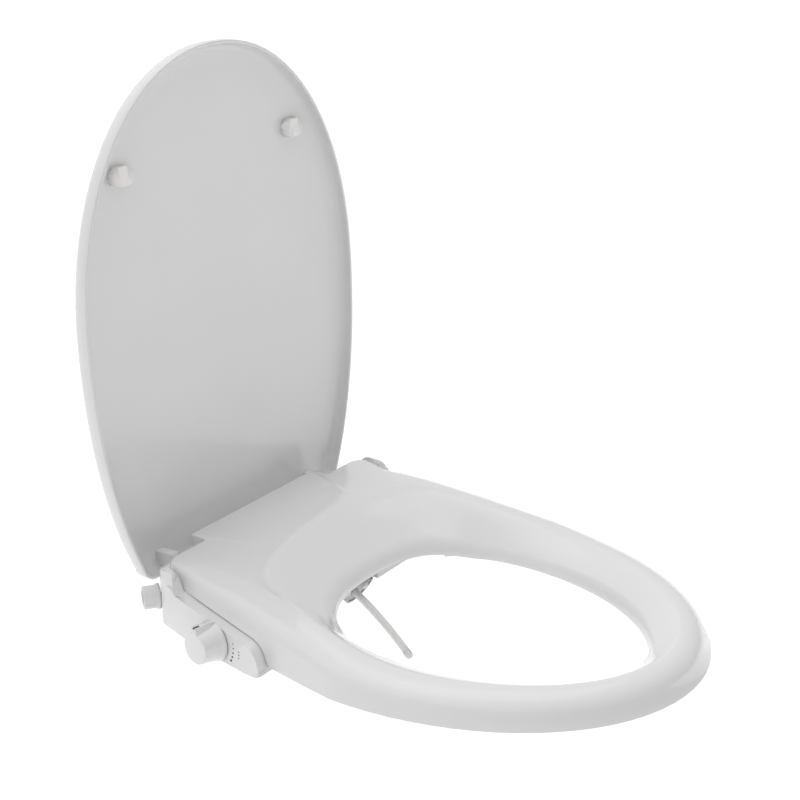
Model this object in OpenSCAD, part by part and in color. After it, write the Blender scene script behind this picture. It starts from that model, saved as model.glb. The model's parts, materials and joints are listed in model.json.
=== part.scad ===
// Bidet toilet seat with a soft-close seat and lid, a side knob and two washing nozzles.
// Frame: +Z up, front of the seat towards -Y, knob side towards -X.
// Origin: midway between the two bowl bolts, on the top face of the toilet bowl.

/* [Seat] */
// Width of the seat at its widest line
seat_w = 370; // [340:1:400]
// Widest line to the front tip
seat_front = 236; // [210:1:270]
// Bowl bolts to the widest line
seat_widest = 190; // [175:1:205]
// Seat's lower edge above the bowl
seat_lift = 10; // [8:0.5:14]
// Height of the plain side wall at the front tip
seat_edge = 7.4; // [5:0.1:12]
// How much the side wall grows towards the rear
seat_edge_rise = 28.3; // [18:0.1:32]
// Height of the crown above the lower edge at the front
seat_crown_front = 24; // [20:0.5:30]
// Height of the flat rear above the lower edge
seat_crown_rear = 49; // [45:0.5:53]
// Wall of the moulded seat
seat_wall = 3.5; // [2.5:0.1:4.5]
// Width of the opening in the seat
hole_w = 226; // [200:1:240]
// Opening's widest line to its front end
hole_front = 167.5; // [150:0.5:175]
// Opening's widest line to its rear end
hole_rear = 112.5; // [100:0.5:116]
// Opening's widest line, in front of the seat's
hole_shift = 18.7; // [10:0.1:25]
// Width of the flat block behind the seat's ears
block_w = 180; // [170:1:188]
// Bowl bolts to the block's rear edge
block_rear = 42; // [39:0.5:42]
// Bowl bolts to the rear edge of the ears
ear_rear = 24; // [20:0.5:25]
// Radius of the ear corners in plan
ear_r = 20; // [14:0.5:24]

/* [Lid] */
// Width of the lid at its widest line
lid_w = 372; // [342:1:402]
// Hinge foot to the lid's front tip
lid_len = 455; // [430:1:490]
// Hinge foot to the lid's widest line
lid_widest = 217.5; // [205:0.5:232]
// How far the lid reaches past the hinge foot
lid_tail = 10.5; // [8:0.5:14]
// Straight part of the lid's rim
lid_rim = 11; // [8:0.5:14]
// Depth of the lid from its lip to the crown
lid_depth = 20; // [17:0.5:24]
// Wall of the moulded lid
lid_wall = 3.2; // [2.4:0.1:4]
// Hinge axis to the plane of the lid's lip
lid_drop = 26.85; // [25:0.05:29]
// Lean of the open lid behind upright
lid_lean = 2.8; // [0:0.1:12]
// Turn of the lid from open to closed
lid_swing = 98.5; // [97:0.5:104]

/* [Hinge] */
// Hinge axis behind the bowl bolts
hinge_y = 22; // [18:0.5:26]
// Hinge axis above the bowl
hinge_z = 40; // [37:0.5:43]
// Radius of both hinge shafts
shaft_r = 4; // [3:0.1:5]
// Radial clearance of a shaft that turns in a bore
run_gap = 0.05; // [0.02:0.01:0.1]
// Radius of the soft-close dampers
damper_r = 9.6; // [8:0.1:10]
// Length of a damper's body
damper_len = 21.5; // [16:0.5:22]
// Outer radius of the cheek round a damper
cheek_r = 13; // [12.5:0.1:13.2]
// Half distance between the inner faces of the cheeks
cheek_x = 121; // [118:0.5:124]
// Width of a lid arm
arm_w = 9; // [8:0.5:15]
// Width of a seat lug
lug_w = 15; // [10:0.5:16]

/* [Base and side covers] */
// Half width of the base between the side covers
base_x = 119.5; // [116:0.5:120]
// Front of the base, in front of the bolts
base_front = 88; // [80:0.5:92]
// Rear of the base, behind the bolts
base_rear = 18; // [14:0.5:19]
// Joint between the lower tray and the upper cover
base_split = 22; // [16:0.5:26]
// Top of the upper cover
base_top = 44; // [40:0.5:46]
// Wall of the base and side covers
case_wall = 2.6; // [2:0.1:3.5]
// Rear corner of a side cover's outer face, from the middle
face_x = 160.5; // [158:0.5:164]
// Rear corner of a side cover's outer face, behind the bolts
face_y = 14; // [10:0.5:16]
// Turn of a side cover's outer face
face_turn = 10.2; // [9:0.1:11]
// Front end of a side cover, in front of the bolts
cover_front = 116; // [110:0.5:120]
// Gap between the seat's wall and a side cover
seat_gap = 0.9; // [0.6:0.1:2]

/* [Mounting plate] */
// Distance between the bowl bolts
bolt_pitch = 140; // [130:1:160]
// Width of the bolt slots
slot_w = 9; // [8.5:0.5:12]
// Length of the bolt slots
slot_len = 27; // [20:1:32]
// Thickness of the plate
plate_t = 4; // [3:0.5:4.2]

/* [Water] */
// Outer diameter of the inlet's thread
inlet_d = 20.95; // [18:0.05:22]
// Length of the inlet outside the cover
inlet_len = 15; // [13:0.5:20]
// Height of the inlet's axis
inlet_z = 26; // [24:0.5:27]
// Turn of the inlet behind the crosswise direction
inlet_turn = 37.7; // [30:0.1:45]
// Radius of a nozzle's tube
wand_r = 3.5; // [3:0.1:4.2]
// Radius of the arc that the nozzles follow
wand_arc = 280; // [270:1:290]
// Middle of the pair to each nozzle's centre line
wand_x = 8; // [7.6:0.1:9]
// Seat's middle to the middle of the nozzle pair
wand_shift = 3; // [0:0.5:4]
// Turn of a nozzle from retracted to extended
wand_turn = 16; // [12:0.5:16]
// Radius of a nozzle's water cylinder
barrel_r = 7.4; // [6.8:0.1:7.5]
// Radius of the knob at its foot
knob_r = 18.5; // [16:0.5:20]
// Height of the knob off the cover
knob_h = 22; // [18:0.5:28]
// Height of the knob's axis above the bowl
knob_z = 17.7; // [17:0.1:20]
// Rear corner of the outer face to the knob's axis
knob_back = 72; // [64:0.1:78]

/* [Hidden] */

white = [0.90, 0.90, 0.90];
shade = [0.80, 0.80, 0.80];
grey = [0.62, 0.62, 0.63];
soft = [0.85, 0.85, 0.82];
steel = [0.74, 0.75, 0.77];
black = [0.12, 0.12, 0.12];

fine = 48;
eps = 0.01;

function lerp(a, b, t) = a + (b - a) * t;
function clamp(v, lo, hi) = max(lo, min(hi, v));
function ease(t) = let (c = clamp(t, 0, 1)) c * c * (3 - 2 * c);

// Seat outline
widest_y = -seat_widest;
tip_y = widest_y - seat_front;
hole_y = widest_y - hole_shift;
side_in = 31.9;
side_run = 174.9;
ear_y = ear_rear - ear_r;
crease_in = 5.3;
block_r = 2;
notch_x = block_w / 2 + 3;

function side_x(y) = seat_w / 2 - side_in * pow(max(0, (y - widest_y) / side_run), 1.1);

front_steps = 20;
side_ys = concat([for (i = [1:7]) lerp(widest_y, -cover_front, i / 7)],
                 [for (i = [1:6]) -cover_front + 3 + (1 - cos(i * 15)) * 20],
                 [for (i = [1:4]) lerp(-cover_front + 23, ear_y, i / 4)]);
half_outline = concat(
    [for (i = [0:front_steps]) let (a = 90 * i / front_steps)
        [seat_w / 2 * sin(a), widest_y - seat_front * cos(a)]],
    [for (y = side_ys) [side_x(y), y]],
    [for (a = [18:18:90]) [side_x(ear_y) - ear_r + ear_r * cos(a), ear_y + ear_r * sin(a)]],
    [[(side_x(ear_y) - ear_r + notch_x) / 2, ear_rear], [notch_x, ear_rear],
     [block_w / 2, ear_rear + 2.5], [block_w / 2, lerp(ear_rear, block_rear - block_r, 0.6)]],
    [for (a = [0:30:90]) [block_w / 2 - block_r + block_r * cos(a), block_rear - block_r + block_r * sin(a)]],
    [for (x = [0.66, 0.33, 0]) [x * block_w / 2, block_rear]]);
seat_outline = concat(half_outline,
    [for (i = [len(half_outline) - 2:-1:1]) [-half_outline[i][0], half_outline[i][1]]]);

// Seat heights
cover_arc = 20;
cover_rise = 0.12;
// lower edge of the seat's side wall, raised over the side covers
function cut_z(y) = let (s = -cover_front + 3, c = s + cover_arc)
    y < s ? seat_lift
    : y < c ? seat_lift + sqrt(max(0, pow(cover_arc, 2) - pow(y - c, 2)))
    : seat_lift + cover_arc + cover_rise * (y - c);
function crown_z(y) = seat_lift + lerp(seat_crown_front, seat_crown_rear, ease((y + 250) / 210));
function crease_z(y) = seat_lift + seat_edge
    + seat_edge_rise * pow(clamp((y - tip_y) / 410.5, 0, 1.05), 2.3);
rear_edge_z = seat_lift + seat_crown_rear - 5.5;
block_edge_z = seat_lift + seat_crown_rear - 12;

// opening's radius from its middle, along a direction
function hole_reach(d) = let (n = d[1] < 0 ? 1.9 : 2.5, b = d[1] < 0 ? hole_front : hole_rear)
    pow(pow(abs(d[0]) / (hole_w / 2), n) + pow(abs(d[1]) / b, n), -1 / n);

shoulder_steps = 5;
ramp_steps = 5;
lip_h = 7.6;
// one ray of the seat: points from the outer wall over the top to the opening, then back inside
function seat_ray(o) = let (
        v = o - [0, hole_y], len_o = norm(v), d = v / len_o, w = len_o - hole_reach(d),
        back = ease((o[1] - ear_y) / (0.7 * ear_r)),
        edge = o[1] > ear_rear + 1 ? block_edge_z : rear_edge_z,
        low = lerp(cut_z(o[1]), edge, back),
        crease = max(low + 1.5, lerp(crease_z(o[1]), seat_lift + seat_crown_rear - 2, back)),
        inset = lerp(crease_in, 0.5, back),
        shoulder = lerp(min(34, 0.4 * w), o[1] > ear_rear + 1 ? 1.2 : 2.5, back),
        ramp = min(w - inset - shoulder - 1, 40 + 32 * ease((d[1] + 0.3) / 1.2)),
        lip_low = seat_lift + 7 * ease((d[1] - 0.5) / 0.4),
        lip = lip_low + lip_h,
        t = seat_wall,
        at = function(s) o - d * s,
        pt = function(s, z) [at(s)[0], at(s)[1], z],
        top = function(s) crown_z(at(s)[1]),
        outer = concat(
            [pt(0, low), pt(inset, crease)],
            [for (i = [1:shoulder_steps]) let (a = 90 * i / shoulder_steps,
                s = inset + shoulder * (1 - cos(a)))
                pt(s, lerp(crease, top(s), sin(a)))],
            [for (i = [0:ramp_steps - 1]) let (x = 1 - i / ramp_steps, s = w - 1 - ramp * x)
                pt(s + 0.4, lerp(lip, top(s), 1 - pow(1 - x, 1.25)))],
            [pt(w - 1, lip), pt(w, lip_low)]),
        inner = concat(
            [pt(w - t, lip_low), pt(w - t - 1, lip - t + 1)],
            [for (i = [ramp_steps - 1:-2:0]) let (x = 1 - i / ramp_steps, s = w - 1 - ramp * x)
                pt(min(s, w - t - 3), lerp(lip, top(s), 1 - pow(1 - x, 1.25)) - t)],
            [for (i = [shoulder_steps - 1:-2:1]) let (a = 90 * i / shoulder_steps,
                s = inset + t + (shoulder - t / 2) * (1 - cos(a)))
                pt(s, lerp(crease - 1, top(s) - t, sin(a)))],
            [pt(inset + t, crease - 1), pt(t, low)]))
    concat(outer, inner);

// closed loop of rings joined side to side
function loop_faces(n, m) = [for (i = [0:n - 1], j = [0:m - 1], k = [0, 1])
    let (a = i * m + j, b = i * m + (j + 1) % m, c = (i + 1) % n * m + j, e = (i + 1) % n * m + (j + 1) % m)
    k == 0 ? [a, b, e] : [a, e, c]];

module seat_shell() {
    rays = [for (o = seat_outline) seat_ray(o)];
    color(white)
    polyhedron([for (r = rays) each r], loop_faces(len(rays), len(rays[0])), 4);
}

// plan outline moved inward along the rays, by s from the outside or from the opening
function seat_plan(s, from_hole) = [for (o = seat_outline) let (
    v = o - [0, hole_y], len_o = norm(v), d = v / len_o)
    from_hole ? [0, hole_y] + d * (hole_reach(d) + s) : o - d * s];

underside_t = 2.5;
underside_gap = 0.5;
module seat_underside() {
    color(white)
    translate([0, 0, seat_lift])
    linear_extrude(underside_t)
    intersection() {
        difference() {
            polygon(seat_plan(seat_wall + underside_gap + crease_in * underside_t / (seat_edge - 1), false));
            polygon(seat_plan(seat_wall + underside_gap + 0.8, true));
        }
        translate([-seat_w, tip_y - 10]) square([2 * seat_w, -cover_front - 4 - (tip_y - 10)]);
    }
}

bumper_spots = [[105, tip_y + 96], [148, widest_y - 5]];
module pad(x, y, l, w, z0, z1) {
    translate([x, y, z0]) {
        for (s = [-1, 1]) translate([s * (l - w) / 2, 0, 0]) cylinder(h = z1 - z0, r = w / 2, $fn = fine);
        translate([-(l - w) / 2, -w / 2, 0]) cube([l - w, w, z1 - z0]);
    }
}
module seat_bumpers() {
    color(soft)
    for (s = [-1, 1], p = bumper_spots) pad(s * p[0], p[1], 24, 13, 0, seat_lift);
}

// Hinge
arm_x0 = cheek_x - 16;
arm_x1 = arm_x0 + arm_w;
lug_x1 = block_w / 2 - 5;
lug_x0 = lug_x1 - lug_w;
post_x1 = lug_x0 - 2;
post_x0 = post_x1 - 11;
knuckle_r = 9;
under_z = seat_lift + seat_crown_rear - seat_wall;

// slab whose profile lies in the YZ plane, between two X values
module side_slab(x0, x1) {
    translate([x0, 0, 0]) rotate([90, 0, 90]) linear_extrude(x1 - x0) children();
}
module rod(x0, x1, y, z, r) {
    translate([x0, y, z]) rotate([0, 90, 0]) cylinder(h = x1 - x0, r = r, $fn = fine);
}

lug_screw_y = [-14, 2];
lug_foot = 4;
module seat_lugs() {
    color(white)
    difference() {
        union() {
            for (s = [-1, 1]) {
                side_slab(s > 0 ? lug_x0 : -lug_x1, s > 0 ? lug_x1 : -lug_x0)
                    polygon([[hinge_y - knuckle_r, hinge_z], [hinge_y - knuckle_r - 3, under_z - eps],
                             [hinge_y + 5, under_z - eps], [hinge_y + knuckle_r, hinge_z]]);
                rod(s > 0 ? lug_x0 : -lug_x1, s > 0 ? lug_x1 : -lug_x0, hinge_y, hinge_z, knuckle_r);
                translate([s > 0 ? lug_x0 : -lug_x1, -22, under_z - lug_foot])
                    cube([lug_w, hinge_y + 27, lug_foot - eps]);
            }
        }
        rod(-lug_x1 - 1, -lug_x0 + 1, hinge_y, hinge_z, shaft_r + run_gap);
        rod(lug_x0 - 1, lug_x1 + 1, hinge_y, hinge_z, shaft_r);
        for (s = [-1, 1], y = lug_screw_y)
            translate([s * (lug_x0 + lug_x1) / 2, y, under_z - lug_foot - 1]) cylinder(h = 8, r = 1.7, $fn = 24);
    }
}

module screw(l, r, head_r, head_h) {
    cylinder(h = l, r = r, $fn = 24);
    difference() {
        translate([0, 0, -head_h]) cylinder(h = head_h, r = head_r, $fn = 32);
        for (a = [0, 90]) rotate([0, 0, a])
            translate([-head_r * 0.6, -0.5, -head_h - 1]) cube([head_r * 1.2, 1, 1 + head_h * 0.55]);
    }
}
module seat_lug_screws() {
    color(steel)
    for (s = [-1, 1], y = lug_screw_y)
        translate([s * (lug_x0 + lug_x1) / 2, y, under_z - lug_foot])
            screw(lug_foot - 0.1, 1.7, 3.2, 2);
}

shaft_in = 3;
module hinge_shaft(s) {
    x_end = cheek_x + 0.5 + damper_len - shaft_in;
    rod(s > 0 ? post_x0 + 2 : -x_end, s > 0 ? x_end : -post_x0 - 2, hinge_y, hinge_z, shaft_r);
}
module seat_hinge_shaft() { color(steel) hinge_shaft(1); }
module lid_hinge_shaft() { color(steel) hinge_shaft(-1); }

module damper_body(s) {
    x0 = s > 0 ? cheek_x + 0.5 : -cheek_x - 0.5 - damper_len;
    difference() {
        union() {
            rod(x0, x0 + damper_len, hinge_y, hinge_z, damper_r);
            translate([x0, hinge_y - damper_r - 2, hinge_z - 2]) cube([damper_len, 4, 4]);
        }
        rod(s > 0 ? x0 - 1 : x0 + shaft_in, s > 0 ? x0 + damper_len - shaft_in : x0 + damper_len + 1,
            hinge_y, hinge_z, shaft_r + run_gap);
    }
}
module lid_damper_body() { color(grey) damper_body(-1); }
module seat_damper_body() { color(grey) damper_body(1); }

// Lid
// lid's own frame: lip plane z = 0, hinge foot at y = 0, axis lid_drop below it
module open_lid() {
    translate([0, hinge_y, hinge_z]) rotate([-90 - lid_lean, 0, 0]) translate([0, 0, lid_drop]) children();
}

lid_front = lid_len - lid_widest;
lid_side_run = 229.4;
lid_round = 12;
function lid_half(y) = let (t = (y + lid_widest))
    t < 0 ? lid_w / 2 * pow(max(0, 1 - pow(-t / lid_front, 2.1)), 1 / 2.1)
          : lid_w / 2 * pow(1 - pow(0.7 * t / lid_side_run, 2.1), 1 / 2.1);
lid_steps = 20;
lid_half_outline = concat(
    [for (i = [0:lid_steps]) let (a = 90 * i / lid_steps, s = pow(sin(a), 2 / 2.1), c = pow(cos(a), 2 / 2.1))
        [lid_w / 2 * s, -lid_widest - lid_front * c]],
    [for (i = [1:12]) let (y = lerp(-lid_widest, lid_tail - lid_round, i / 12)) [lid_half(y), y]],
    [for (a = [22.5:22.5:90]) [lid_half(lid_tail - lid_round) - lid_round * (1 - cos(a)) - 2 * sin(a),
                               lid_tail - lid_round + lid_round * sin(a)]],
    [for (x = [0.75, 0.5, 0.25, 0]) [x * (lid_half(0) - lid_round - 2), lid_tail]]);
lid_outline = concat(lid_half_outline,
    [for (i = [len(lid_half_outline) - 2:-1:1]) [-lid_half_outline[i][0], lid_half_outline[i][1]]]);

lid_mid = [0, -lid_widest];
lid_corner = 9;
// plan points pulled towards the middle by a distance, all at one depth
function lid_ring(s, z) = [for (o = lid_outline) let (v = o - lid_mid, l = norm(v), p = lid_mid + v * (l - s) / l)
    [p[0], p[1], z]];
function lid_share(f, z) = [for (o = lid_outline) let (p = lid_mid + (o - lid_mid) * f) [p[0], p[1], z]];
function dome(f, edge, top) = lerp(edge, top, pow(1 - f * f, 0.8));
module lid_shell() {
    wall = lid_wall;
    edge = lid_rim + lid_corner * 0.55;
    rings = concat(
        [lid_ring(wall, 0), lid_ring(0.4, 0), lid_ring(0, 0.6), lid_ring(0, lid_rim * 0.6), lid_ring(0.5, lid_rim)],
        [for (a = [25, 50, 70]) lid_ring(0.5 + lid_corner * (1 - cos(a)), lid_rim + (edge - lid_rim) * sin(a))],
        [for (f = [0.9, 0.78, 0.6, 0.4, 0.2]) lid_share(f, dome(f, edge, lid_depth))],
        [for (f = [0.2, 0.4, 0.6, 0.78, 0.9]) lid_share(f, dome(f, edge, lid_depth) - wall)],
        [lid_ring(wall + 7, edge - wall - 0.6), lid_ring(wall + 2.2, edge - wall - 3.2),
         lid_ring(wall + 0.4, lid_rim - 5), lid_ring(wall, 0.6)]);
    n = len(lid_outline);
    k = len(rings);
    top = 13;
    // two fans close the crown outside and inside, at the 13th and 14th ring
    points = concat([for (r = rings) each r],
        [[lid_mid[0], lid_mid[1], lid_depth], [lid_mid[0], lid_mid[1], lid_depth - wall]]);
    skin = [for (r = [0:k - 1], i = [0:n - 1], h = [0, 1]) if (r != top - 1)
        let (r1 = (r + 1) % k, i1 = (i + 1) % n, a = r * n + i, b = r * n + i1, c = r1 * n + i, d = r1 * n + i1)
        h == 0 ? [a, d, b] : [a, c, d]];
    outside = [for (i = [0:n - 1]) [(top - 1) * n + i, k * n, (top - 1) * n + (i + 1) % n]];
    inside = [for (i = [0:n - 1]) [top * n + i, top * n + (i + 1) % n, k * n + 1]];
    color(white) open_lid() polyhedron(points, concat(skin, outside, inside), 4);
}

arm_top = 8;
arm_low = 6;
arm_reach = lid_depth - lid_wall - 2.6;
arm_free = 0.7;
// neck behind the path of the ear's rear lip, and a head above the ear's top when the lid is down
lid_slope = lid_swing - 90 - lid_lean;
over_axis = seat_lift + seat_crown_rear - hinge_z;
neck_y = ear_rear - hinge_y + arm_free + over_axis * sin(lid_slope);
neck_z0 = rear_edge_z - hinge_z - arm_free;
neck_z1 = over_axis + arm_free + arm_top * sin(lid_slope);
module lid_arms() {
    color(white)
    open_lid()
    difference() {
        for (s = [-1, 1]) {
            x0 = s > 0 ? arm_x0 : -arm_x1;
            side_slab(x0, x0 + arm_w)
                translate([0, -lid_drop]) polygon([[-knuckle_r, 0], [-arm_top, neck_z0 - 3.8], [-4, neck_z0 - 0.8],
                    [neck_y, neck_z0 - 0.4], [neck_y, neck_z1], [-arm_top, neck_z1], [-arm_top, lid_drop + arm_reach],
                    [arm_low, lid_drop + arm_reach], [knuckle_r + 1.5, neck_z1], [knuckle_r + 1.5, neck_z0],
                    [knuckle_r, 0]]);
            rod(x0, x0 + arm_w, 0, -lid_drop, knuckle_r);
        }
        rod(-arm_x1 - 1, -arm_x0 + 1, 0, -lid_drop, shaft_r);
        rod(arm_x0 - 1, arm_x1 + 1, 0, -lid_drop, shaft_r + run_gap);
    }
}
lid_bumper = [117, 357.5];
lid_bumper_top = 6.9;
lid_bumper_base = lid_depth - lid_wall - 2;
module lid_bumpers() {
    color(soft)
    open_lid()
    for (s = [-1, 1]) pad(s * lid_bumper[0], -lid_bumper[1], 26, 17, lid_bumper_top, lid_bumper_base);
}

// Side covers
face_c = cos(face_turn);
// frame on the left cover's outer face: x inward, y along the face, origin at its rear corner
module face_frame() { translate([-face_x, face_y, 0]) rotate([0, 0, -face_turn]) children(); }
function face_at(y) = -face_x - (face_y - y) * tan(face_turn);

cover_low = 0.8;
cover_top_r = cover_arc - seat_gap;
cover_c = -cover_front + 3 + cover_arc;
cover_rear = hinge_y + cheek_r;
hump_x = 151.5;
hump_top = 58.5;
hump_r = 12;
chamfer_a = 52.3;
// side view of a cover, rear wall first, then along the bottom and over the rounded front
function cover_profile() = concat(
    [[cover_rear, hinge_z], [cover_rear, 22], [cover_rear - 12, 8], [-30, cover_low], [-cover_front + 20, cover_low],
     [-cover_front + 6, 2.2], [-cover_front + 0.6, 5.5]],
    [for (a = [180:-10:90]) [cover_c + cover_top_r * cos(a) * (a > 170 ? 1.1 : 1), seat_lift + cover_top_r * sin(a)]],
    [[0, seat_lift + cover_arc - seat_gap + cover_rise * (0 - cover_c)], [hinge_y - 12, hinge_z]]);

module cover_plan() {
    polygon([[-cheek_x, cover_rear], [-140, cover_rear],
             [-face_x, face_y], [face_at(-cover_front - 3), -cover_front - 3],
             [-cheek_x - 30, -cover_front - 3], [-cheek_x, -base_front]]);
}

module cheek() {
    reach = 150 - cheek_x;
    round_r = 6;
    translate([-cheek_x, hinge_y, hinge_z]) rotate([0, -90, 0])
    rotate_extrude($fn = 72)
        polygon(concat([[0, 0], [cheek_r, 0]],
            [for (a = [0:10:90]) [cheek_r - round_r + round_r * cos(a), reach - round_r + round_r * sin(a)]],
            [[0, reach]]));
}

module cover_solid() {
    intersection() {
        side_slab(-face_x - 40, -cheek_x) polygon(cover_profile());
        linear_extrude(80) cover_plan();
    }
    intersection() {
        cheek();
        linear_extrude(80) polygon([[-cheek_x + 1, 60], [-121, 60], [-face_x + 2, face_y - 3.5], [-face_x, -10],
                                    [-cheek_x + 1, -10]]);
    }
    hump();
}
// raised rear end of a cover, outside the seat's ear
module hump() {
    intersection() {
        side_slab(-face_x - 6, -hump_x)
            polygon(concat([[-20, 30], [-20, cut_z(-20) - seat_gap], [-4, cut_z(-4) - seat_gap + 1]],
                [for (a = [140:-20:0]) [13 + 14 * cos(a), hump_top - 14 + 14 * sin(a)]], [[27, 30]]));
        linear_extrude(80) cover_plan();
        union() {
            translate([-face_x - 10, -40, 20]) cube([40, 90, hump_top - hump_r - 20]);
            translate([-hump_x + 2, -40, hump_top - hump_r]) rotate([-90, 0, 0]) cylinder(h = 90, r = hump_r, $fn = 72);
        }
    }
}
module cover_hollow() {
    face_frame() translate([case_wall + 0.4, -112, 3.6]) cube([60, 98, 21]);
    rod(-cheek_x - 0.5 - damper_len, -cheek_x + 1, hinge_y, hinge_z, damper_r);
    translate([-cheek_x - 0.5 - damper_len, hinge_y - damper_r - 2, hinge_z - 2]) cube([damper_len + 2, 4, 4]);
}

valve_r = 9.6;
spindle_r = 3.5;
module on_knob_axis() { face_frame() translate([0, -knob_back, knob_z]) rotate([0, -90, 0]) children(); }
inlet_at = [-150.2, 26.6, inlet_z];
module on_inlet_axis() { translate(inlet_at) rotate([0, 0, -inlet_turn]) rotate([0, -90, 0]) children(); }
barb_r = 3.4;
hose_r = 2.6;
hose_gap = 0.4;
supply_path = [[-139.5, 18.3, 26], [-136.5, 16, 26], [-134, 10, 24], [-134, 0, 20], [-134, -10, 16.5],
               [-134, -25, 13.6], [-133, -38, 12], [-131.2, -48, 11.4], [-128, -56, 11.4]];
module side_cover_left() {
    color(white)
    difference() {
        cover_solid();
        cover_hollow();
        // valve pocket behind the face and the hole for its spindle
        on_knob_axis() translate([0, 0, -40]) cylinder(h = 40 - case_wall - 0.4, r = valve_r + 0.4, $fn = fine);
        on_knob_axis() translate([0, 0, -10]) cylinder(h = 12, r = spindle_r + 0.5, $fn = fine);
        on_inlet_axis() translate([0, 0, -40]) cylinder(h = 60, r = barb_r + 0.05, $fn = fine);
        tube(supply_path, hose_r + hose_gap, 10);
    }
}
button_z = 14;
button_y = -52;
button_w = 26;
button_h = 13;
module right_side() { mirror([1, 0, 0]) children(); }
module side_cover_right() {
    color(white)
    right_side()
    difference() {
        cover_solid();
        cover_hollow();
        face_frame() translate([-1, (button_y - face_y) / face_c - button_w / 2, button_z - button_h / 2])
            cube([10, button_w, button_h]);
    }
}

// Release button
button_gap = 0.3;
button_proud = 2.5;
module release_button() {
    color(shade)
    right_side() face_frame()
    translate([0, (button_y - face_y) / face_c, button_z]) {
        translate([-button_proud, -button_w / 2 + button_gap, -button_h / 2 + button_gap])
            cube([case_wall + 8, button_w - 2 * button_gap, button_h - 2 * button_gap]);
        translate([case_wall + 0.6, -button_w / 2 - 2, -button_h / 2 + button_gap])
            cube([2, button_w + 4, button_h - 2 * button_gap]);
    }
}
spring_r = 3.4;
spring_wire = 0.5;
spring_len = 12;
spring_turns = 6;
function helix(t) = [spring_r * cos(360 * spring_turns * t), spring_r * sin(360 * spring_turns * t), t * spring_len];
// tube of one radius swept along points, with flat ends
function ring_at(p, d, r, m) = let (
    u0 = abs(d[2]) > 0.9 ? [1, 0, 0] : [0, 0, 1], a = cross(d, u0), a1 = a / norm(a), b = cross(d, a1))
    [for (i = [0:m - 1]) p + r * (a1 * cos(360 * i / m) + b * sin(360 * i / m))];
function unit(v) = v / norm(v);
module tube(path, r, m) {
    n = len(path);
    dirs = [for (i = [0:n - 1]) unit(path[min(n - 1, i + 1)] - path[max(0, i - 1)])];
    points = [for (i = [0:n - 1]) each ring_at(path[i], dirs[i], r, m)];
    walls = [for (i = [0:n - 2], j = [0:m - 1], k = [0, 1]) let (a = i * m + j, b = i * m + (j + 1) % m,
        c = (i + 1) * m + j, e = (i + 1) * m + (j + 1) % m) k == 0 ? [a, e, b] : [a, c, e]];
    polyhedron(points, concat(walls, [[for (j = [0:m - 1]) j]], [[for (j = [m - 1:-1:0]) (n - 1) * m + j]]), 4);
}
button_back = case_wall + 8 - button_proud;
module button_spring() {
    color(steel)
    right_side() face_frame()
    translate([button_back + 0.6, (button_y - face_y) / face_c, button_z]) rotate([0, 90, 0])
        tube([for (i = [0:72]) helix(i / 72)], spring_wire, 6);
}

// Base
tray_floor = plate_t + 0.6;
slot_x = 21;
shroud_way = 53;
module base_tray() {
    color(white)
    difference() {
        union() {
            translate([-base_x, -base_front, tray_floor]) cube([2 * base_x, base_front + base_rear, base_split - tray_floor]);
            for (s = [-1, 1]) {
                x0 = s > 0 ? post_x0 : -post_x1;
                side_slab(x0, x0 + 11) polygon([[2, tray_floor], [2, hinge_z - 2], [hinge_y - 8, hinge_z],
                                               [hinge_y, hinge_z], [hinge_y, tray_floor]]);
                rod(x0, x0 + 11, hinge_y, hinge_z, 8);
            }
        }
        difference() {
            translate([-base_x + case_wall, -base_front + case_wall, tray_floor + case_wall])
                cube([2 * (base_x - case_wall), base_front + base_rear - 2 * case_wall, 60]);
            for (s = [-1, 1]) translate([s > 0 ? post_x0 : -post_x1, 2, 0]) cube([11, 40, 80]);
            for (s = [-1, 1], y = case_screw_y) translate([s * case_screw_x, y, 0]) cylinder(h = 80, r = 4, $fn = 32);
        }
        for (s = [-1, 1]) rod(s > 0 ? post_x0 + 1.9 : -post_x1 - 1, s > 0 ? post_x1 + 1 : -post_x0 - 1.9,
                              hinge_y, hinge_z, shaft_r + run_gap);
        translate([wand_shift - slot_x, -base_front - 1, 0]) cube([2 * slot_x, shroud_way, 30]);
        for (s = [-1, 1], y = case_screw_y) translate([s * case_screw_x, y, 0]) cylinder(h = 80, r = 1.6, $fn = 24);
        // hose way into the left cover
        translate([-base_x - 1, -70, 9]) cube([10, 60, 12]);
        translate([-bolt_pitch / 2 - slot_len / 2 - 4, -9, 0]) cube([slot_len + 8, 18, 30]);
        translate([bolt_pitch / 2 - slot_len / 2 - 4, -9, 0]) cube([slot_len + 8, 18, 30]);
    }
}
case_screw_x = 108;
case_screw_y = [-74, 6];
cover_knee = 46;
cover_nose = 24;
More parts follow.
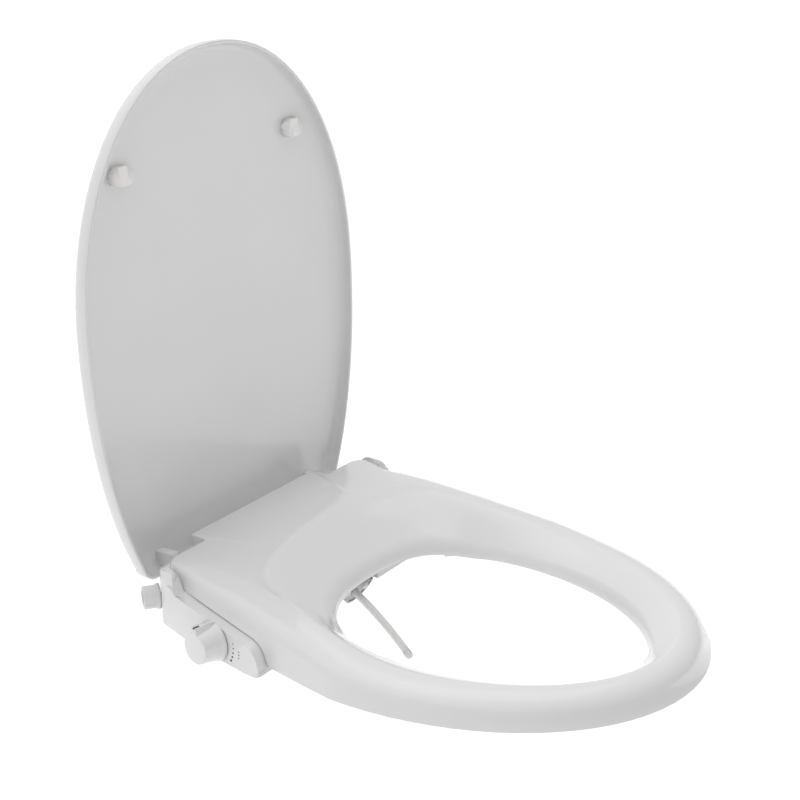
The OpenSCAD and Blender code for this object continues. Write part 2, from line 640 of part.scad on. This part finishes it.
module base_cover() {
    w = case_wall;
    outer = [[-base_front, base_split], [-base_front, cover_nose], [-cover_knee, base_top], [8, base_top],
             [base_rear, base_top - 9], [base_rear, base_split]];
    inner = [[-base_front + w, base_split - 1], [-base_front + w, cover_nose - w * 0.7],
             [-cover_knee + w * 0.6, base_top - w], [8 - w * 0.4, base_top - w],
             [base_rear - w, base_top - 9 - w * 0.6], [base_rear - w, base_split - 1]];
    color(shade)
    difference() {
        side_slab(-base_x, base_x) polygon(outer);
        side_slab(-base_x + w, base_x - w) polygon(inner);
        for (s = [-1, 1]) translate([s > 0 ? post_x0 - 1 : -post_x1 - 1, 1, 0]) cube([13, 40, 80]);
        translate([wand_shift - slot_x, -base_front - 1, 0]) cube([2 * slot_x, 30, cover_nose + 3]);
        // nozzle cylinders pass the rear wall
        for (s = [-1, 1]) wand_arc_solid(s * wand_x, barrel_r + 0.5, 96, 106);
        for (s = [-1, 1], x = [lug_x0 - 2]) translate([s > 0 ? x : -x - lug_w - 4, 4, base_top - 14]) cube([lug_w + 4, 30, 40]);
        translate([-base_x - 1, -70, base_split - 2]) cube([10, 60, 8]);
        translate([-base_x - 1, 8, base_split - 2]) cube([base_x - arm_x0 + 6, 12, 60]);
        translate([arm_x0 - 5, 8, base_split - 2]) cube([base_x - arm_x0 + 6, 12, 60]);
    }
    color(shade)
    for (s = [-1, 1], y = case_screw_y) translate([s * case_screw_x, y, base_split])
        difference() {
            cylinder(h = (y < -60 ? 27 : base_top - 2) - base_split, r = 4, $fn = 32);
            translate([0, 0, -1]) cylinder(h = 5.5, r = 1.4, $fn = 24);
        }
}
module case_screws() {
    color(steel)
    for (s = [-1, 1], y = case_screw_y) translate([s * case_screw_x, y, tray_floor])
        screw(base_split - tray_floor + 4, 1.35, 3.2, 1.6);
}
pad_spots = [[98, -30], [98, -66], [40, 12]];
module base_pads() {
    color(soft)
    for (s = [-1, 1], p = pad_spots) pad(s * (p[0] == 40 ? 40 : p[0] + 8), p[1], 14, 8, 0, tray_floor);
}

plate_x = 96;
plate_y0 = -16;
plate_y1 = 16;
module mounting_plate() {
    color(shade)
    difference() {
        union() {
            translate([-plate_x, plate_y0, 0]) cube([2 * plate_x, plate_y1 - plate_y0, plate_t]);
            translate([-30, plate_y0 - 10, 0]) cube([60, 12, plate_t]);
        }
        for (s = [-1, 1]) {
            translate([s * bolt_pitch / 2, 0, -1]) {
                for (e = [-1, 1]) translate([e * (slot_len - slot_w) / 2, 0, 0])
                    cylinder(h = plate_t + 2, r = slot_w / 2, $fn = fine);
                translate([-(slot_len - slot_w) / 2, -slot_w / 2, 0]) cube([slot_len - slot_w, slot_w, plate_t + 2]);
            }
        }
        for (s = [-1, 1]) pad(s * 40, 12, 15, 9, -1, plate_t + 1);
        for (s = [-1, 1]) translate([s * 18, plate_y0 - 5, -1]) cylinder(h = plate_t + 2, r = 2, $fn = 24);
    }
}

// Valve and knob
valve_len = 30;
valve_back = case_wall + 1;
module valve_body() {
    color(grey)
    on_knob_axis()
    difference() {
        union() {
            translate([0, 0, -valve_back - valve_len]) cylinder(h = valve_len, r = valve_r, $fn = fine);
            // three hose tails on the rear end
            for (a = [90, 210, 330]) rotate([0, 0, a]) translate([5, 0, -valve_back - valve_len - 8])
                cylinder(h = 9, r = 2.2, $fn = 32);
        }
        translate([0, 0, -valve_back - 22]) cylinder(h = 23, r = spindle_r + run_gap, $fn = fine);
        for (a = [90, 210, 330]) rotate([0, 0, a]) translate([5, 0, -valve_back - valve_len - 9])
            cylinder(h = 14, r = 1.2, $fn = 24);
    }
}
module valve_spindle() {
    color(soft)
    on_knob_axis() difference() {
        translate([0, 0, -valve_back - 21]) cylinder(h = valve_back + 21 + 11, r = spindle_r, $fn = fine);
        translate([0, 0, -valve_back - 8]) rotate_extrude($fn = fine) translate([spindle_r - 0.9, 0]) square([3, 1.8]);
    }
}
module spindle_seal() {
    color(black)
    on_knob_axis() translate([0, 0, -valve_back - 8 + 0.1]) rotate_extrude($fn = fine)
        translate([spindle_r - 0.85, 0]) square([0.83, 1.6]);
}

knob_gap = 1;
knob_top_r = knob_r * 0.79;
pointer_w = 6.4;
pointer_r = knob_r + 1.2;
module control_knob() {
    color(white)
    on_knob_axis()
    difference() {
        union() {
            translate([0, 0, knob_gap]) rotate_extrude($fn = 96)
                polygon(concat([[0, 0], [knob_r, 0], [knob_r, 1.5], [knob_r * 0.9, 6]],
                    [for (a = [0:18:90]) [knob_top_r - 1.5 + 1.5 * cos(a), knob_h - knob_gap - 1.5 + 1.5 * sin(a)]],
                    [[0, knob_h - knob_gap]]));
            // straight pointer ridge that stands above the rim
            translate([knob_top_r - 4, -pointer_w / 2, knob_gap])
                cube([pointer_r - knob_top_r + 4, pointer_w, knob_h - knob_gap]);
        }
        translate([0, 0, -1]) cylinder(h = 12 + 0.2, r = spindle_r, $fn = fine);
        difference() {
            translate([0, 0, -1]) cylinder(h = knob_gap + knob_h - 3, r = knob_top_r - 2.4, $fn = 72);
            cylinder(h = 40, r = spindle_r + 2.5, $fn = 48);
        }
        translate([pointer_r - 1, -1.1, knob_h - 6]) cube([2, 2.2, 7]);
    }
}
module knob_mark() {
    color(black)
    on_knob_axis() translate([pointer_r - 1, -1.1, knob_h - 6]) cube([0.95, 2.2, 6.05]);
}

mark_r = 25.5;
mark_t = 0.3;
// five level dots that grow downward in front of the knob, and three small dots beyond them
module panel_marks() {
    color(black)
    on_knob_axis() {
        for (i = [0:4]) rotate([0, 0, -76 - i * 10.2]) translate([mark_r - 0.25 * i, 0, 0])
            cylinder(h = mark_t, r = 0.45 + 0.15 * i, $fn = 24);
        for (i = [0:2]) rotate([0, 0, -88 - i * 5.5]) translate([mark_r + 7, 0, 0])
            cylinder(h = mark_t, r = 0.5, $fn = 24);
    }
}

// Inlet and hoses
inlet_bore = 7;
module inlet_fitting() {
    r = inlet_d / 2;
    color(soft)
    on_inlet_axis()
    difference() {
        union() {
            cylinder(h = 3, r = r + 1, $fn = fine);
            cylinder(h = inlet_len - 0.8, r = r, $fn = fine);
            cylinder(h = inlet_len, r = r - 0.8, $fn = fine);
            translate([0, 0, -14]) cylinder(h = 15, r = barb_r, $fn = fine);
        }
        translate([0, 0, 5]) cylinder(h = inlet_len, r = inlet_bore, $fn = fine);
        translate([0, 0, -15]) cylinder(h = 30, r = 2.1, $fn = 32);
    }
}
module inlet_filter() {
    color(grey)
    on_inlet_axis() translate([0, 0, 6]) difference() {
        cylinder(h = 1.4, r = inlet_bore - 0.02, $fn = fine);
        for (x = [-4:2:4], y = [-4:2:4]) if (norm([x, y]) < 6) translate([x - 0.6, y - 0.6, -1]) cube([1.2, 1.2, 4]);
    }
}

module supply_hose() {
    color(shade) tube(supply_path, hose_r, 10);
}
module rear_wash_hose() {
    color(shade) tube([[-116, -60, 12.5], [-100, -60, 12.5], [-80, -58, 13], [-60, -50, 15], [-44, -36, 18],
                       [-30, -22, 16.5], [-18, -11, 16.5],
                       [-9, -5, 17.4], [-5.6, -2, 20.4], [-5, -1, 25.4]], hose_r, 10);
}
module front_wash_hose() {
    color(shade) tube([[-116, -68, 12.5], [-111, -66, 12.5], [-90, -66, 12.5], [-66, -62, 13], [-44, -48, 14], [-26, -32, 13.6],
                       [-8, -18, 13.6], [4, -9, 14.6], [9.4, -3, 17.6], [11, -0.6, 20.6], [11, 0, 25.4]], hose_r, 10);
}

// Nozzles
arc_y = 55;
arc_z = -243;
rim_a = 119.5;
tip_a = 136;
tail_a = 115.6;
barrel_a = 118;
bush_a = 118.1;
tip_more = 0.3;
// part of the nozzle arc between two angles, round section
module wand_arc_solid(x, r, a0, a1) {
    translate([x + wand_shift, arc_y, arc_z]) rotate([90, 0, 90]) rotate([0, 0, a0])
        rotate_extrude(angle = a1 - a0, $fn = 360) translate([wand_arc, 0]) circle(r = r, $fn = 32);
}
module wand_arc_section(a0, a1) {
    translate([wand_shift, arc_y, arc_z]) rotate([90, 0, 90]) rotate([0, 0, a0])
        rotate_extrude(angle = a1 - a0, $fn = 360) children();
}
function arc_point(a) = [arc_y + wand_arc * cos(a), arc_z + wand_arc * sin(a)];

shroud_r = 18;
shroud_wall = 2.4;
module shroud_section(r) {
    translate([wand_arc, 0]) intersection() {
        circle(r = r, $fn = 64);
        translate([-r - 1, -r - 1]) square([r + 1 + 6, 2 * r + 2]);
    }
}
module nozzle_shroud() {
    color(grey)
    difference() {
        wand_arc_section(111, rim_a) shroud_section(shroud_r);
        wand_arc_section(110, rim_a + 1) translate([wand_arc, 0]) circle(r = shroud_r - shroud_wall, $fn = 64);
    }
}
module nozzle_guide() {
    color(grey)
    difference() {
        wand_arc_section(bush_a, rim_a - 0.2) shroud_section(shroud_r - shroud_wall - 0.05);
        for (s = [-1, 1]) wand_arc_solid(s * wand_x, wand_r + tip_more + 0.35, bush_a - 1, rim_a + 1);
    }
}
piston_r = barrel_r - 1.9;
module barrel(s) {
    difference() {
        wand_arc_solid(s * wand_x, barrel_r, 98.3, barrel_a);
        wand_arc_solid(s * wand_x, piston_r + run_gap, 98.8, barrel_a - 0.5);
        wand_arc_solid(s * wand_x, wand_r + run_gap, barrel_a - 1, barrel_a + 1);
    }
}
module rear_barrel() { color(shade) barrel(-1); }
module front_barrel() { color(shade) barrel(1); }

module wand(s, shift) {
    wand_arc_solid(s * wand_x, wand_r, tail_a - shift, tip_a - 1.6 - shift);
}
module wand_tip(s, shift) {
    a = tip_a - 1.6 - shift;
    r = wand_r + tip_more;
    translate([s * wand_x + wand_shift, arc_point(a)[0], arc_point(a)[1]]) rotate([a, 0, 0])
    difference() {
        rotate_extrude($fn = fine)
            polygon(concat([[0, 0], [r, 0]], [for (t = [0:10:90]) [r * cos(t), 4 + r * sin(t)]]));
        translate([0, 0, 3]) rotate([-90, 0, 0]) cylinder(h = 10, r = 0.7, $fn = 24);
    }
}
module piston_seal(s, shift) {
    difference() {
        wand_arc_solid(s * wand_x, piston_r, tail_a - shift + 0.1, tail_a - shift + 0.8);
        wand_arc_solid(s * wand_x, wand_r, tail_a - shift - 1, tail_a - shift + 2);
    }
}
module rear_nozzle() { color(white) wand(-1, 0); }
module rear_nozzle_tip() { color(white) wand_tip(-1, 0); }
module rear_piston_seal() { color(black) piston_seal(-1, 0); }
module front_nozzle() { color(white) wand(1, wand_turn); }
module front_nozzle_tip() { color(white) wand_tip(1, wand_turn); }
module front_piston_seal() { color(black) piston_seal(1, wand_turn); }

seat_shell();
seat_underside();
seat_lugs();
seat_bumpers();
seat_lug_screws();
seat_hinge_shaft();
lid_shell();
lid_arms();
lid_bumpers();
lid_hinge_shaft();
base_tray();
base_cover();
side_cover_left();
side_cover_right();
case_screws();
base_pads();
mounting_plate();
release_button();
button_spring();
lid_damper_body();
seat_damper_body();
control_knob();
knob_mark();
valve_spindle();
valve_body();
spindle_seal();
panel_marks();
inlet_fitting();
inlet_filter();
supply_hose();
rear_wash_hose();
front_wash_hose();
nozzle_shroud();
nozzle_guide();
rear_barrel();
front_barrel();
rear_nozzle();
rear_nozzle_tip();
rear_piston_seal();
front_nozzle();
front_nozzle_tip();
front_piston_seal();
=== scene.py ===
import bpy
import json
import math
from mathutils import Vector, Matrix

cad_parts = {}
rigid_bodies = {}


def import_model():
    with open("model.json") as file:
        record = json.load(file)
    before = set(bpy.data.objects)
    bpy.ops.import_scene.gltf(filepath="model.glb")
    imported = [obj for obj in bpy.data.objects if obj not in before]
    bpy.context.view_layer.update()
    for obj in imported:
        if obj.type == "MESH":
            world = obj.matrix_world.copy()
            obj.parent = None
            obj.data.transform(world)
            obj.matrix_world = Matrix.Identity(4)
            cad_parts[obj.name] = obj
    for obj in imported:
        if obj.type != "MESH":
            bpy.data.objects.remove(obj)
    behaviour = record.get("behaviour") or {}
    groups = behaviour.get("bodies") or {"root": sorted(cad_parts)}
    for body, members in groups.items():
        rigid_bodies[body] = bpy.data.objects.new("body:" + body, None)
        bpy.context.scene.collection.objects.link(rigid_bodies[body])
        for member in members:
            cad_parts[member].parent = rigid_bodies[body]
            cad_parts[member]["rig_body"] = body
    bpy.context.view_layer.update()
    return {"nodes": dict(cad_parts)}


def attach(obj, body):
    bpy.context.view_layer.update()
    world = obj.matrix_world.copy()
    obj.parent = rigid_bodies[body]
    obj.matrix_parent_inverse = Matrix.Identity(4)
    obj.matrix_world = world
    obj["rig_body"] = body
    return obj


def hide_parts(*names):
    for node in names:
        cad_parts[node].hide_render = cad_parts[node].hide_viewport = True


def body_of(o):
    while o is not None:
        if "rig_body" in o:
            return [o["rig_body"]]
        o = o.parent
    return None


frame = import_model()
nodes = frame["nodes"]
mm = 0.001
print("frame loaded:", len(nodes), "nodes")


# sRGB hex, as a paint chart gives it, to the linear values the shaders want
def linearHex(code):
    parts = [int(code[i:i + 2], 16) / 255 for i in (0, 2, 4)]
    return [c / 12.92 if c <= 0.04045 else ((c + 0.055) / 1.055) ** 2.4 for c in parts] + [1.0]


# how often a pattern repeats in a metre, from its real size
def perMetre(sizeMm):
    return 1000 / sizeMm


# adds one node, sets its sockets and properties, and links what comes in
def addNode(tree, kind, inputs=None, links=None, **props):
    node = tree.nodes.new(kind)
    for key, value in props.items():
        setattr(node, key, value)
    for key, value in (inputs or {}).items():
        node.inputs[key].default_value = value
    for key, (source, output) in (links or {}).items():
        tree.links.new(source.outputs[output], node.inputs[key])
    return node


def newMaterial(name):
    material = bpy.data.materials.new(name)
    material.use_nodes = True
    tree = material.node_tree
    tree.nodes.clear()
    return material, tree


# what every moulded part shares: clouds of colour, smudges in the gloss, and how deep light gets in
moulding = {"cloudMm": 90, "cloudFrom": 0.3, "cloudTo": 0.7, "smudgeMm": 35, "softMm": 4}


# moulded plastic: a colour that drifts a little over the part, and a fine unevenness that softens reflections
def mouldedPlastic(name, tone, drift, rough, roughDrift, waveMm, waveDepthMm, grainMm, grainDepthMm,
                   ior=1.53, coat=0.0, coatRough=0.05, subsurface=0.0):
    material, tree = newMaterial(name)
    place = addNode(tree, "ShaderNodeTexCoord")
    onPart = {"Vector": (place, "Object")}
    cloud = addNode(tree, "ShaderNodeTexNoise",
                    {"Scale": perMetre(moulding["cloudMm"]), "Detail": 2.0, "Roughness": 0.5}, onPart)
    ramp = addNode(tree, "ShaderNodeValToRGB", None, {"Fac": (cloud, "Fac")})
    low, high = ramp.color_ramp.elements
    low.position = moulding["cloudFrom"]
    high.position = moulding["cloudTo"]
    low.color = linearHex(drift)
    high.color = linearHex(tone)
    smudge = addNode(tree, "ShaderNodeTexNoise",
                     {"Scale": perMetre(moulding["smudgeMm"]), "Detail": 3.0, "Roughness": 0.6}, onPart)
    roughness = addNode(tree, "ShaderNodeMapRange", {"To Min": rough, "To Max": rough + roughDrift},
                        {"Value": (smudge, "Fac")})
    wave = addNode(tree, "ShaderNodeTexNoise", {"Scale": perMetre(waveMm), "Detail": 1.0}, onPart)
    waveBump = addNode(tree, "ShaderNodeBump", {"Strength": 1.0, "Distance": waveDepthMm * mm},
                       {"Height": (wave, "Fac")})
    grain = addNode(tree, "ShaderNodeTexNoise", {"Scale": perMetre(grainMm), "Detail": 2.0}, onPart)
    bump = addNode(tree, "ShaderNodeBump", {"Strength": 1.0, "Distance": grainDepthMm * mm},
                   {"Height": (grain, "Fac"), "Normal": (waveBump, "Normal")})
    shader = addNode(tree, "ShaderNodeBsdfPrincipled",
                     {"IOR": ior, "Coat Weight": coat, "Coat Roughness": coatRough,
                      "Subsurface Weight": subsurface, "Subsurface Scale": moulding["softMm"] * mm},
                     {"Base Color": (ramp, "Color"), "Roughness": (roughness, "Result"),
                      "Normal": (bump, "Normal")})
    addNode(tree, "ShaderNodeOutputMaterial", None, {"Surface": (shader, "BSDF")})
    return material


# drawn or rolled steel: fine lines along the part in its roughness
def plainSteel(name, tone, rough, roughDrift, lineMm, lineStretch, lineStrength, lineDepthMm):
    material, tree = newMaterial(name)
    place = addNode(tree, "ShaderNodeTexCoord")
    stretch = addNode(tree, "ShaderNodeMapping", {"Scale": (lineStretch, 1.0, 1.0)},
                      {"Vector": (place, "Object")})
    lines = addNode(tree, "ShaderNodeTexNoise", {"Scale": perMetre(lineMm), "Detail": 3.0},
                    {"Vector": (stretch, "Vector")})
    roughness = addNode(tree, "ShaderNodeMapRange", {"To Min": rough, "To Max": rough + roughDrift},
                        {"Value": (lines, "Fac")})
    bump = addNode(tree, "ShaderNodeBump", {"Strength": lineStrength, "Distance": lineDepthMm * mm},
                   {"Height": (lines, "Fac")})
    shader = addNode(tree, "ShaderNodeBsdfPrincipled", {"Base Color": linearHex(tone), "Metallic": 1.0},
                     {"Roughness": (roughness, "Result"), "Normal": (bump, "Normal")})
    addNode(tree, "ShaderNodeOutputMaterial", None, {"Surface": (shader, "BSDF")})
    return material


plastics = {
    # polished mould, so the white shell takes clear, slightly soft reflections
    "glossWhiteAbs": dict(tone="DCDCDC", drift="DADADA", rough=0.16, roughDrift=0.05, waveMm=60,
                          waveDepthMm=0.01, grainMm=0.5, grainDepthMm=0.0003, coat=0.5, coatRough=0.04),
    # plainer mould for what faces the bowl: the same white, with dull highlights
    "satinWhiteAbs": dict(tone="D6D6D6", drift="D3D3D3", rough=0.34, roughDrift=0.08, waveMm=40,
                          waveDepthMm=0.02, grainMm=0.6, grainDepthMm=0.002),
    # spark-eroded mould: an even mid grey with hardly any shine
    "greyAbs": dict(tone="A6A6A8", drift="9F9FA1", rough=0.42, roughDrift=0.1, waveMm=30, waveDepthMm=0.02,
                    grainMm=0.5, grainDepthMm=0.004),
    # acetal lets a little light in, so its white looks waxy
    "whiteAcetal": dict(tone="DBDCDB", drift="D6D7D6", rough=0.30, roughDrift=0.08, waveMm=25,
                        waveDepthMm=0.01, grainMm=0.4, grainDepthMm=0.001, subsurface=0.15),
    # thermoplastic elastomer: milky and matt, so a pad glows a little at its edges
    "softPad": dict(tone="EEEEEC", drift="E8E8E6", rough=0.45, roughDrift=0.1, waveMm=12, waveDepthMm=0.02,
                    grainMm=0.35, grainDepthMm=0.004, ior=1.41, subsurface=0.4),
    # extruded nylon: cloudy and softly shiny along the tube
    "hoseNylon": dict(tone="D9DADA", drift="D2D3D3", rough=0.38, roughDrift=0.1, waveMm=14, waveDepthMm=0.02,
                      grainMm=0.4, grainDepthMm=0.002, subsurface=0.2),
    # moulded nitrile seals: near black, with a dull broken highlight
    "blackRubber": dict(tone="222222", drift="1B1B1B", rough=0.6, roughDrift=0.15, waveMm=8, waveDepthMm=0.02,
                        grainMm=0.3, grainDepthMm=0.01),
    # pad-printed ink: dark grey, and duller than the gloss round it
    "padPrint": dict(tone="3A3A3C", drift="333335", rough=0.5, roughDrift=0.1, waveMm=5, waveDepthMm=0.003,
                     grainMm=0.25, grainDepthMm=0.003),
}
made = {name: mouldedPlastic(name, **values) for name, values in plastics.items()}

# zinc-plated steel: a cool, pale metal with fine lines drawn out along the part
zinc = dict(tone="C3C5C8", rough=0.22, roughDrift=0.18, lineMm=0.25, lineStretch=0.05, lineStrength=0.4,
            lineDepthMm=0.02)
made["zincSteel"] = plainSteel("zincSteel", **zinc)
print("materials made:", len(made))

finishNodes = {
    "glossWhiteAbs": ["seat_shell", "lid_shell", "lid_arms", "side_cover_left", "side_cover_right",
                      "control_knob", "release_button"],
    "satinWhiteAbs": ["seat_underside", "seat_lugs", "base_tray", "base_cover"],
    "greyAbs": ["lid_damper_body", "seat_damper_body", "valve_body", "nozzle_shroud", "nozzle_guide",
                "inlet_filter"],
    "softPad": ["seat_bumpers", "lid_bumpers", "base_pads"],
    "hoseNylon": ["supply_hose", "rear_wash_hose", "front_wash_hose"],
    "blackRubber": ["spindle_seal", "rear_piston_seal", "front_piston_seal"],
    "padPrint": ["knob_mark", "panel_marks"],
    "zincSteel": ["seat_lug_screws", "seat_hinge_shaft", "lid_hinge_shaft", "case_screws", "button_spring"],
}
finishOf = {name: finish for finish, names in finishNodes.items() for name in names}
# the rest are water parts, the nozzles and the plate, all acetal
for name, thing in nodes.items():
    thing.data.materials.clear()
    thing.data.materials.append(made[finishOf.get(name, "whiteAcetal")])
print("finishes given to", len(nodes), "nodes")


def deselectAll():
    if bpy.context.mode != "OBJECT":
        bpy.ops.object.mode_set(mode="OBJECT")
    bpy.ops.object.select_all(action="DESELECT")


def only(thing):
    deselectAll()
    thing.select_set(True)
    bpy.context.view_layer.objects.active = thing


mergeMm = 0.02


# a CAD mesh's triangles are loose, so a merged copy takes the node's place where its shading shows
def mergedCopy(name, edgeAngle):
    source = nodes[name]
    copy = source.copy()
    copy.data = source.data.copy()
    copy.name = name + "_skin"
    copy.parent = None
    bpy.context.scene.collection.objects.link(copy)
    for key in list(copy.keys()):
        del copy[key]
    only(copy)
    bpy.ops.object.mode_set(mode="EDIT")
    bpy.ops.mesh.select_all(action="SELECT")
    bpy.ops.mesh.remove_doubles(threshold=mergeMm * mm)
    bpy.ops.object.mode_set(mode="OBJECT")
    bpy.ops.object.shade_smooth_by_angle(angle=math.radians(edgeAngle))
    return copy


# the least angle between two faces that shows as an edge, wider on the two big curved shells
shellEdge = 40
smallEdge = 30
skins = {
    "seat_shell": shellEdge, "lid_shell": shellEdge,
    "side_cover_left": smallEdge, "side_cover_right": smallEdge,
    "control_knob": smallEdge, "lid_arms": smallEdge,
    "rear_nozzle": smallEdge, "rear_nozzle_tip": smallEdge,
    "front_nozzle": smallEdge, "front_nozzle_tip": smallEdge,
    "nozzle_shroud": smallEdge, "inlet_fitting": smallEdge, "lid_bumpers": smallEdge,
}
for name, edgeAngle in skins.items():
    body = body_of(nodes[name])
    skin = mergedCopy(name, edgeAngle)
    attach(skin, body if isinstance(body, str) else body[0])
    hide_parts(name)
print("skins made:", len(skins))

# turn and lift are in degrees, and place is in metres
view = {"turn": -55.0, "lift": 21.08, "place": (-1.1947, -0.9669, 0.7628), "lensMm": 80.35, "sensorMm": 36,
        "farEnd": 60}
turn, lift = math.radians(view["turn"]), math.radians(view["lift"])
back = Vector((math.sin(turn) * math.cos(lift), -math.cos(turn) * math.cos(lift), math.sin(lift)))
side = Vector((math.cos(turn), math.sin(turn), 0))
over = back.cross(side)
deselectAll()
bpy.ops.object.camera_add(location=view["place"])
camera = bpy.context.object
camera.matrix_world = Matrix((
    (side.x, over.x, back.x, view["place"][0]),
    (side.y, over.y, back.y, view["place"][1]),
    (side.z, over.z, back.z, view["place"][2]),
    (0, 0, 0, 1)))
camera.data.lens = view["lensMm"]
camera.data.sensor_width = view["sensorMm"]
camera.data.clip_end = view["farEnd"]
bpy.context.scene.camera = camera
print("camera set")

# the floor is so wide that its edge is never seen, and it glows a little so that it stays pale
floorLook = {"width": 60, "heightMm": -400, "tone": (0.96, 0.96, 0.96, 1.0), "glowTone": (1, 1, 1, 1),
             "glow": 0.12, "rough": 0.85, "roughest": 0.95, "cloudsPerMetre": 3.0}
deselectAll()
bpy.ops.mesh.primitive_plane_add(size=floorLook["width"], location=(0, 0, floorLook["heightMm"] * mm))
floor = bpy.context.object
floor.name = "floor"
floorMaterial, tree = newMaterial("paleFloor")
floorPlace = addNode(tree, "ShaderNodeTexCoord")
floorNoise = addNode(tree, "ShaderNodeTexNoise", {"Scale": floorLook["cloudsPerMetre"]},
                     {"Vector": (floorPlace, "Object")})
floorRough = addNode(tree, "ShaderNodeMapRange",
                     {"To Min": floorLook["rough"], "To Max": floorLook["roughest"]},
                     {"Value": (floorNoise, "Fac")})
floorShader = addNode(tree, "ShaderNodeBsdfPrincipled",
                      {"Base Color": floorLook["tone"], "Emission Color": floorLook["glowTone"],
                       "Emission Strength": floorLook["glow"], "Specular IOR Level": 0.0},
                      {"Roughness": (floorRough, "Result")})
addNode(tree, "ShaderNodeOutputMaterial", None, {"Surface": (floorShader, "BSDF")})
floor.data.materials.append(floorMaterial)
print("floor laid")

# the room is bright overhead and behind the seat, and dimmer in front of it
roomLight = {"tone": (1, 1, 1, 1), "evenShare": 0.60, "backShare": 0.35, "topShare": 0.70, "topCurve": 1.5}
world = bpy.data.worlds.new("studio")
bpy.context.scene.world = world
world.use_nodes = True
room = world.node_tree
background = room.nodes["Background"]
background.inputs["Color"].default_value = roomLight["tone"]
direction = addNode(room, "ShaderNodeTexCoord")
axes = addNode(room, "ShaderNodeSeparateXYZ", None, {"Vector": (direction, "Generated")})
towardsBack = addNode(room, "ShaderNodeMath", {1: roomLight["backShare"]}, {0: (axes, "Y")},
                      operation="MULTIPLY")
raised = addNode(room, "ShaderNodeMath", {1: 0.0}, {0: (axes, "Z")}, operation="MAXIMUM")
curved = addNode(room, "ShaderNodeMath", {1: roomLight["topCurve"]}, {0: (raised, 0)}, operation="POWER")
towardsTop = addNode(room, "ShaderNodeMath", {1: roomLight["topShare"]}, {0: (curved, 0)},
                     operation="MULTIPLY")
both = addNode(room, "ShaderNodeMath", None, {0: (towardsBack, 0), 1: (towardsTop, 0)}, operation="ADD")
strength = addNode(room, "ShaderNodeMath", {1: roomLight["evenShare"]}, {0: (both, 0)}, operation="ADD")
room.links.new(strength.outputs[0], background.inputs["Strength"])
bpy.context.scene.view_settings.view_transform = "Standard"

# one broad, soft lamp overhead, in metres and watts
overhead = {"place": (0.5, 0.1, 2.0), "aim": (0.05, -0.2, 0.1), "size": 1.4, "watts": 3}
deselectAll()
bpy.ops.object.light_add(type="AREA", location=overhead["place"])
lamp = bpy.context.object
lamp.name = "overhead"
lamp.data.shape = "SQUARE"
lamp.data.size = overhead["size"]
lamp.data.energy = overhead["watts"]
aimLine = Vector(overhead["aim"]) - Vector(overhead["place"])
lamp.rotation_euler = aimLine.to_track_quat("-Z", "Y").to_euler()
print("room and lamp set")

bpy.context.view_layer.update()
